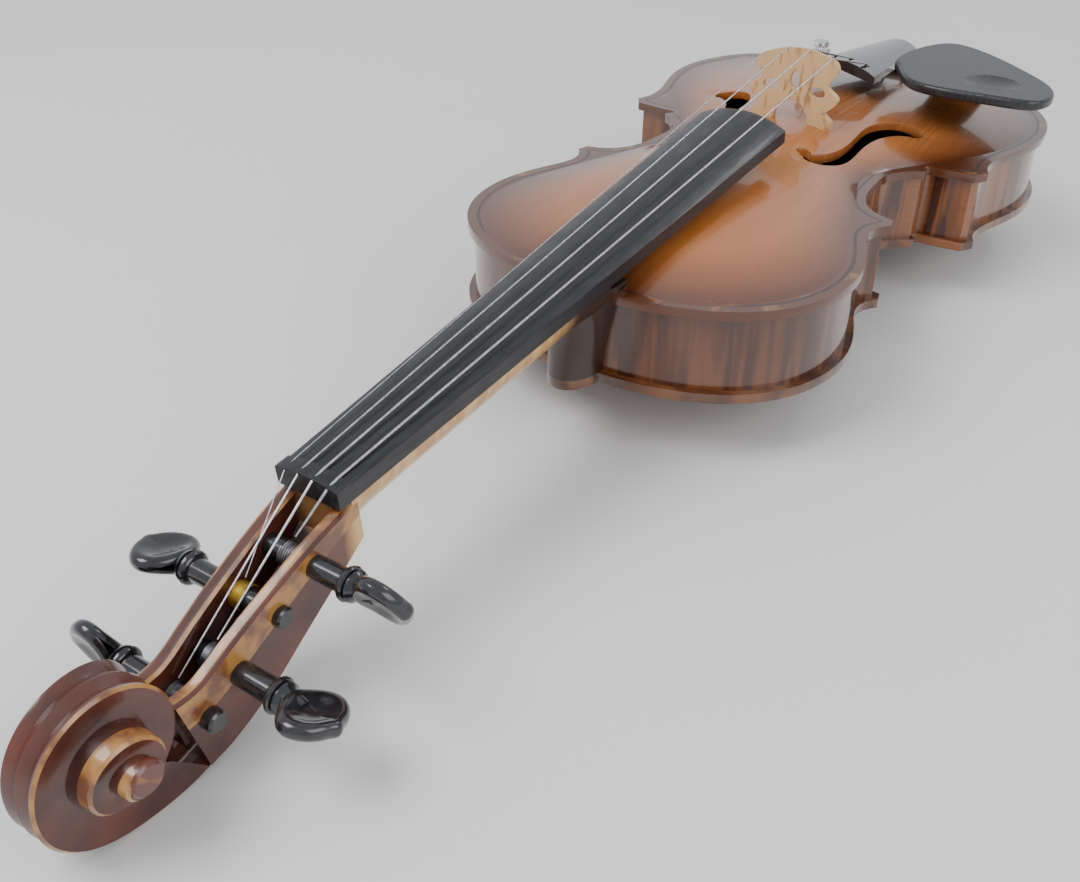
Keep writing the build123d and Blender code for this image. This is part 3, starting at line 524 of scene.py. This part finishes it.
def scroll_mesh():
    bm = bmesh.new()
    # pegbox: stations along the back, each a full ring
    stations = 34
    rings = []
    rim_rows = []
    for i in range(stations + 1):
        share = i / stations
        u = -1 + share * 64.7
        low = eased(back_run, u)
        width = between(box_width, u)
        top_u = -1 + share * 69.1
        top = eased(cheek_run, top_u)
        inner = width - wall
        floor_u = min(max(u, 5), 62)
        floor = eased([(4, -13), (14, -21), (28, -29), (43, -37), (62, -41)], floor_u)
        filled = u < trough_start or i == stations
        near_end = max(0.0, (u - 61.0) / 5.0)
        depth = 1.3 * min(1.0, max(0.0, u / 20))
        ring = []
        for x, drop in rim_profile(width - chamfer, depth):
            ring.append(neck_point(x, u, low + drop))
        for share_up in (0.04, 0.3, 0.6, 0.9):
            up = low + chamfer + (top - low - 2 * chamfer) * (share_up - 0.04) / 0.86
            ring.append(neck_point(width, u + (top_u - u) * share_up, up))
        ring.append(neck_point(width - 1.2, top_u, top))
        level = top if filled else floor
        if not filled and near_end > 0:
            level = floor + (top - 3 - floor) * min(near_end, 1) ** 2
        ring.append(neck_point(inner + 0.9, top_u, top))
        ring.append(neck_point(inner, top_u, top - (0 if filled else 0.9)))
        for share_in in (1.0, 0.6, 0.0, -0.6, -1.0):
            lift = 1.2 * abs(share_in) ** 4 if not filled else 0
            ring.append(neck_point(inner * share_in, top_u, level + lift))
        ring.append(neck_point(-inner, top_u, top - (0 if filled else 0.9)))
        ring.append(neck_point(-inner - 0.9, top_u, top))
        ring.append(neck_point(1.2 - width, top_u, top))
        for share_up in (0.9, 0.6, 0.3, 0.04):
            up = low + chamfer + (top - low - 2 * chamfer) * (share_up - 0.04) / 0.86
            ring.append(neck_point(-width, u + (top_u - u) * share_up, up))
        rings.append(ring)
    skin(bm, rings, wrap=True, cap=True, worn=(12, 14, 22, 24))
    # scroll: rim, then one spiral strip a side
    first = 216
    rim_end = 560
    count = int((rim_end - first) / step_angle)
    rim_rows = []
    for i in range(count + 1):
        angle = first + i * step_angle
        half = eased(turn_width, angle) - chamfer
        depth = 1.5 if angle < 500 else 1.5 - 0.9 * (angle - 500) / 60
        row = [volute_point(max(angle, 234), drop, x) if angle >= 234
               else neck_point(x, 58 + (angle - 216) / 18 * 5.7, -47.2 - (angle - 216) / 30 + drop)
               for x, drop in rim_profile(half, depth)]
        rim_rows.append(row)
    skin(bm, rim_rows)
    last = 1170
    for side in (-1, 1):
        rows = []
        angle = 234
        while angle <= last:
            out_width = eased(turn_width, angle)
            in_angle = min(angle + 360, last)
            in_width = eased(turn_width, in_angle)
            out_radius = eased(turn_radius, angle)
            in_radius = eased(turn_radius, in_angle)
            if angle + 360 > last:
                fade = (angle + 360 - last) / 360
                in_radius = in_radius * (1 - fade) + 0.05 * fade
                in_width = in_width + (20.0 - in_width) * fade
            gap = max(out_radius - in_radius, 0.05)
            edge = min(chamfer, gap * 0.3)
            dip = min(1.0, gap * 0.12)
            base = min(out_width, in_width)
            profile = [(out_radius, out_width - chamfer), (out_radius - edge, out_width),
                       (out_radius - gap * 0.4, base - dip), (out_radius - gap * 0.72, base - dip),
                       (out_radius - gap * 0.90, base - dip * 0.2),
                       (in_radius + gap * 0.02, base + (in_width - base) * 0.4),
                       (in_radius, in_width - chamfer)]
            turn = math.radians(angle)
            rows.append([neck_point(side * x, eye[0] + r * math.cos(turn),
                                    eye[1] + r * math.sin(turn)) for r, x in profile])
            angle += step_angle
        skin(bm, rows, worn=(0, 5))
        # the eye: a small button that closes the spiral
        eye_rows = []
        for reach, height in ((4.9, 17.5), (4.9, 19.2), (4.1, 19.9), (0.02, 20.0)):
            eye_rows.append([neck_point(side * height, eye[0] + reach * math.cos(a),
                                        eye[1] + reach * math.sin(a))
                             for a in (math.tau * k / 36 for k in range(36))])
        skin(bm, eye_rows, wrap=True)
    return bm


def neck_mesh(bm):
    """The handle and the heel, as closed shells beside the pegbox."""
    handle = []
    for along, width, depth in ((1.0, 24.0, 14.0), (-6, 24.3, 12.8), (-25, 25.6, 12.3),
                                (-50, 27.5, 12.3), (-80, 29.2, 12.6), (-105, 30.6, 13.1),
                                (-124, 31.4, 14.6), (-133, 32.0, 18.0)):
        row = []
        for k in range(25):
            a = math.pi + math.pi * k / 24
            row.append(neck_point(width / 2 * math.cos(a), along,
                                  depth * math.sin(a)))
        handle.append(row)
    skin(bm, handle, wrap=True, cap=True)
    heel = []
    root = 186.0
    for level, width, reach in ((15.0, 21.0, 13.0), (22, 22.0, 12.2), (30, 24.5, 12.6),
                                (38, 27.5, 15.0), (45, 29.8, 19.5), (50, 31.0, 25.0),
                                (53.0, 31.8, 30.5)):
        row = [Vector((width / 2, root, level)) * MM]
        for k in range(25):
            a = math.pi * k / 24
            row.append(Vector((width / 2 * math.cos(a), root + 6 + (reach + 3) * math.sin(a),
                               level)) * MM)
        row.append(Vector((-width / 2, root, level)) * MM)
        heel.append(row)
    skin(bm, heel, wrap=True, cap=True)


head = scroll_mesh()
neck_mesh(head)
neck_piece = piece_from(head, "neck_and_scroll", "body", ["neck"],
                        finishes["head_varnish"], 38)
neck_piece.data.materials.append(worn_edge())


# ---- pegs -----------------------------------------------------------------------------
peg_along = {"g": 17.5, "a": 60.0, "d": 48.0, "e": 32.0}
peg_side = {"g": -1, "d": -1, "a": 1, "e": 1}
peg_turn = {"g": 62.0, "d": 20.0, "a": 75.0, "e": 15.0}


def peg_frame(name):
    """A matrix with +Z along the peg towards its head."""
    along = peg_along[name]
    centre = neck_point(0, along, -3.2 - 0.455 * along)
    side = peg_side[name]
    turn = math.radians(peg_turn[name])
    z = Vector((side, 0, 0))
    x = Vector((0, math.cos(turn), math.sin(turn)))
    y = z.cross(x)
    rows = [[x[i], y[i], z[i], centre[i]] for i in range(3)] + [[0, 0, 0, 1]]
    return Matrix(rows)


def peg_mesh(name):
    bm = bmesh.new()
    place = peg_frame(name)
    profile = [(0.01, -13.0), (2.7, -13.0), (3.25, -12.4), (3.45, 0), (3.68, 21.0), (3.7, 22.4),
               (4.6, 22.8), (5.2, 23.6), (5.3, 24.4), (4.9, 25.0), (4.2, 25.2), (4.2, 25.7),
               (4.8, 25.9), (4.6, 26.8), (3.6, 27.6), (3.1, 29.0), (3.0, 31.0), (2.4, 33.0),
               (0.01, 33.0)]
    rows = []
    for radius, height in profile:
        rows.append([place @ (Vector((radius * math.cos(a), radius * math.sin(a), height)) * MM)
                     for a in (math.tau * k / 40 for k in range(40))])
    skin(bm, rows, wrap=True)
    centre = 36.6
    around = 64
    rings = [(1.0, 0.0), (0.985, 0.8), (0.93, 1.5), (0.84, 1.95), (0.72, 1.9), (0.55, 1.45),
             (0.35, 1.05), (0.15, 0.9), (0.001, 0.88)]
    for face in (-1, 1):
        rows = []
        for share, height in rings:
            row = []
            for k in range(around):
                a = math.tau * k / around
                wide = 10.8 * math.sin(a) * (1 - 0.10 * math.cos(a))
                long = 8.3 * math.cos(a) + 0.9 * math.exp(-((a - math.pi * 2) / 0.16) ** 2) \
                    + 0.9 * math.exp(-(a / 0.16) ** 2) - 1.2 * math.exp(-((a - math.pi) / 0.5) ** 2)
                stem = 1.3 * math.exp(-((a - math.pi) / 0.55) ** 2) * share
                point = Vector((wide * share, face * (height * 1.25 + stem), centre + long * share))
                row.append(place @ (point * MM))
            rows.append(row)
        skin(bm, rows, wrap=True)
    return bm


for peg in ("g", "d", "a", "e"):
    piece_from(peg_mesh(peg), "tuning_peg_" + peg, "tuning_peg_" + peg, ["peg_" + peg],
               finishes["peg_black"], 40)


# ---- string windings on the pegs --------------------------------------------------------
winding_offset = {"g": -3.2, "d": -0.5, "a": 3.2, "e": 3.6}
wire = {"g": 0.42, "d": 0.40, "a": 0.36, "e": 0.30}


def winding_mesh(name):
    """Turns of wire side by side, round the shaft."""
    bm = bmesh.new()
    place = peg_frame(name)
    radius = wire[name]
    offset = winding_offset[name] * peg_side[name]
    turns = 5.0 / (2 * radius)
    rows = []
    total = int(turns * 28)
    for i in range(total + 1):
        a = math.tau * i / 28
        height = offset - 2.5 + 5.0 * i / total
        out = 3.55 + radius
        ring = []
        for k in range(8):
            b = math.tau * k / 8
            reach = out + radius * math.cos(b)
            ring.append(place @ (Vector((reach * math.cos(a), reach * math.sin(a),
                                         height + radius * math.sin(b))) * MM))
        rows.append(ring)
    skin(bm, rows, wrap=True, cap=True)
    return bm


for peg in ("g", "d", "a", "e"):
    finish = silk_finish if peg == "e" else dark_wire
    piece_from(winding_mesh(peg), "string_winding_" + peg, "tuning_peg_" + peg,
               ["winding_" + peg], finish, 60)


# ---- floor, light and camera -------------------------------------------------------------
def stage_floor():
    bpy.ops.object.select_all(action="DESELECT")
    low = cad_box[0][2]
    bpy.ops.mesh.primitive_plane_add(size=8.0, location=(0, 0, low - 0.0002))
    floor = bpy.context.object
    floor.name = "floor"
    paper = Finish("pale_floor", 0.6)
    paper.colour(paper.ramp(paper.noise(3.0), (0.3, (0.74, 0.74, 0.73)), (0.7, (0.78, 0.78, 0.77))))
    floor.data.materials.append(paper.material)


def area_light(name, place, aim, size, power):
    light = bpy.data.lights.new(name, "AREA")
    light.shape = "RECTANGLE"
    light.size = size[0]
    light.size_y = size[1]
    light.energy = power
    lamp = bpy.data.objects.new(name, light)
    bpy.context.scene.collection.objects.link(lamp)
    lamp.location = place
    lamp.rotation_euler = (Vector(aim) - Vector(place)).to_track_quat("-Z", "Y").to_euler()


stage_floor()
area_light("key", (0.5, 0.9, 1.3), (0, 0.1, 0.03), (0.8, 0.8), 16.0)
area_light("fill", (-1.4, 0.4, 0.9), (0, 0.1, 0.03), (1.2, 0.9), 10.0)
area_light("rim", (-0.5, -1.5, 1.5), (0, 0.0, 0.05), (0.5, 0.3), 4.0)
world = bpy.data.worlds.new("studio")
world.use_nodes = True
world.node_tree.nodes["Background"].inputs["Color"].default_value = (0.86, 0.88, 0.92, 1.0)
world.node_tree.nodes["Background"].inputs["Strength"].default_value = 0.9
bpy.context.scene.world = world

camera_place = Vector((-0.1967, 0.512, 0.2367))
camera_rows = [(-0.84185, -0.5391, 0.02558), (-0.2923, 0.41558, -0.86131), (0.45371, -0.73257, -0.50744)]
camera_data = bpy.data.cameras.new("camera")
camera_data.sensor_width = 36.0
camera_data.lens = 37.38
camera_data.shift_x = -0.0334
camera_data.shift_y = -0.0744
camera_data.clip_end = 20.0
camera = bpy.data.objects.new("camera", camera_data)
bpy.context.scene.collection.objects.link(camera)
right, down, forward = (Vector(row) for row in camera_rows)
camera.matrix_world = Matrix.Translation(camera_place) @ Matrix(
    [[right[i], -down[i], -forward[i]] for i in range(3)]).to_4x4()
bpy.context.scene.camera = camera
